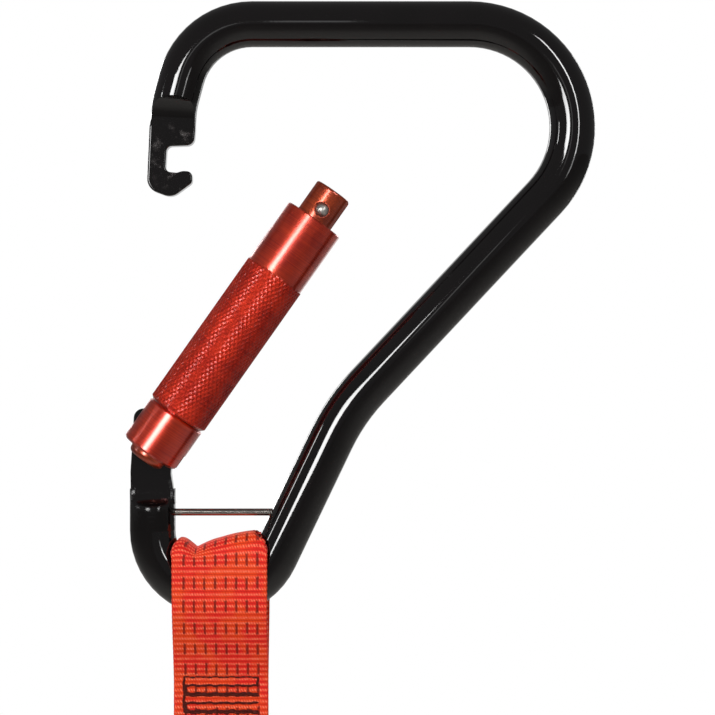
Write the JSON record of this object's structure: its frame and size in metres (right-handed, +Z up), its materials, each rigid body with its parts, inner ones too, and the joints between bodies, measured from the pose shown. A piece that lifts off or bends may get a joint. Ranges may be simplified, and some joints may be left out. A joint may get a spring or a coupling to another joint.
{
  "type": "twist-lock carabiner on a webbing sling",
  "caption": "Large-opening black carabiner with a red knurled twist-lock gate held open, a captive eye pin, and a sewn orange webbing sling.",
  "frame": {"origin": "centre of the large top bend, where the anchor rests", "axes": "XZ is the plane of the carabiner, +Z up with the sling hanging down, +X towards the large bend and away from the gate, +Y towards the back"},
  "size_m": [0.1943, 0.0264, 0.4163],
  "materials": {
    "black_frame": "gloss black anodised forging",
    "red_gate": "red anodised, turned",
    "red_sleeve": "red anodised, turned and knurled",
    "steel_pins": "polished stainless steel",
    "spring_wire": "drawn spring wire",
    "acetal": "turned acetal",
    "webbing": "woven polyester webbing, orange-red with black tracers",
    "thread": "bonded sewing thread, black"
  },
  "bodies": {
    "frame": {"carabiner_frame": "black_frame", "captive_pin": "steel_pins", "webbing_fold": "webbing"},
    "gate": {"gate_barrel": "red_gate", "hinge_pin": "steel_pins", "nose_pin": "steel_pins", "hinge_collar": "red_sleeve", "gate_spring": "spring_wire", "sleeve_spring": "spring_wire"},
    "plunger": {"gate_plunger": "steel_pins"},
    "sleeve": {"lock_sleeve": "red_sleeve", "sleeve_bush": "acetal", "sleeve_guide_pin": "steel_pins"},
    "sling": {"webbing_sling": "webbing", "upper_stitching": "thread", "lower_stitching": "thread"}
  },
  "joints": [
    {"name": "gate_hinge", "type": "hinge", "parent": "frame", "child": "gate", "pos_m": [-0.1313, 0, -0.1333], "axis": [0, -1, 0], "range_deg": [0, 31.66]},
    {"name": "plunger_slide", "type": "slide", "parent": "gate", "child": "plunger", "axis": [0.5759, 0, 0.8175], "range_m": [-0.00271, 0]},
    {"name": "sleeve_twist", "type": "hinge", "parent": "gate", "child": "sleeve", "pos_m": [-0.1313, 0, -0.1333], "axis": [0.5759, 0, 0.8175], "range_deg": [-90, 0]},
    {"name": "sling_swing", "type": "hinge", "parent": "frame", "child": "sling", "pos_m": [-0.1032, 0, -0.1936], "axis": [1, 0, 0], "range_deg": [-60, 60]}
  ],
  "couplings": [
    {"joint": "plunger_slide", "follows": "gate_hinge", "m_per_rad": -0.0048862}
  ]
}
